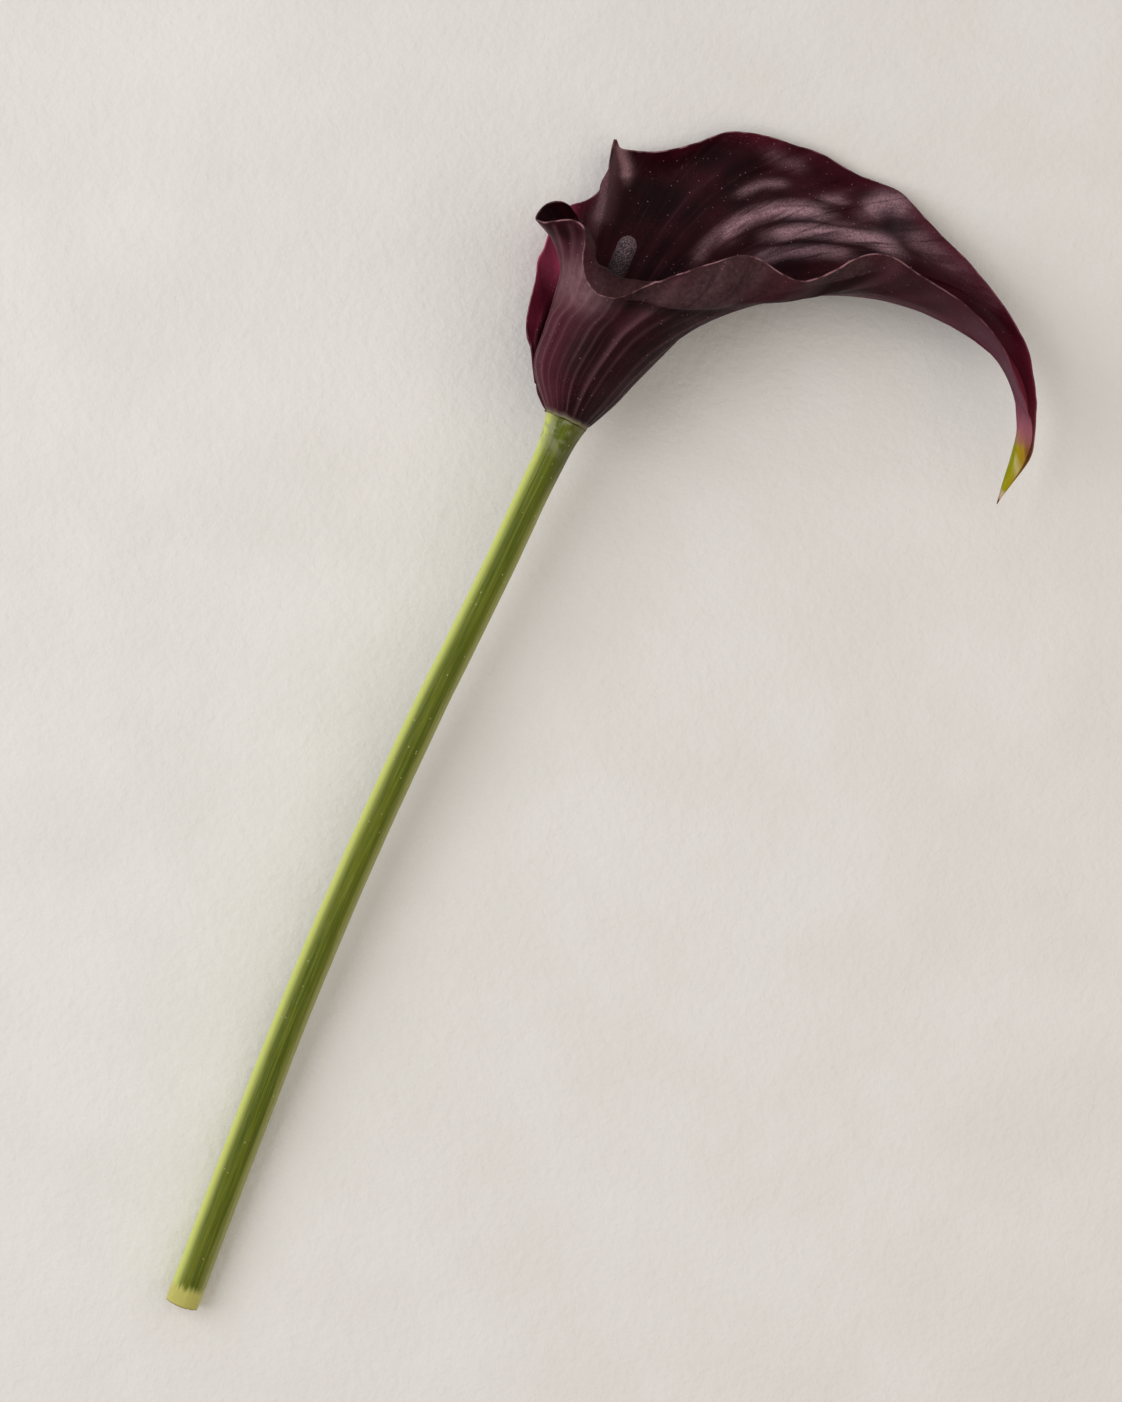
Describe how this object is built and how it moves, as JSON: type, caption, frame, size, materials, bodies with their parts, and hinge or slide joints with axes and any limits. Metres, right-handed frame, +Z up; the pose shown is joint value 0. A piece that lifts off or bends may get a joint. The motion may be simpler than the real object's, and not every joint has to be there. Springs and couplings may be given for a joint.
{
  "type": "calla lily flower",
  "caption": "Cut calla lily bloom: dark maroon rolled spathe with a hooked tip, slim spadix and a long green stem, lying on its side.",
  "frame": {"origin": "centre of the bounding box's bottom face, on the surface that the flower lies on", "axes": "+Y along the stem from its cut end to the bloom, +Z up out of the surface, +X towards the hooked tip of the spathe"},
  "size_m": [0.1345, 0.3255, 0.0414],
  "materials": {
    "spathe_tissue": "satin petal, dark maroon with a sheen along the veins, yellow-green at the tip",
    "spadix_tissue": "matt and finely pebbled, dark purple grey",
    "stem_tissue": "satin, yellow green with fine lengthwise streaks"
  },
  "bodies": {
    "root": {"spathe": "spathe_tissue", "spadix": "spadix_tissue", "stem": "stem_tissue"}
  },
  "joints": []
}
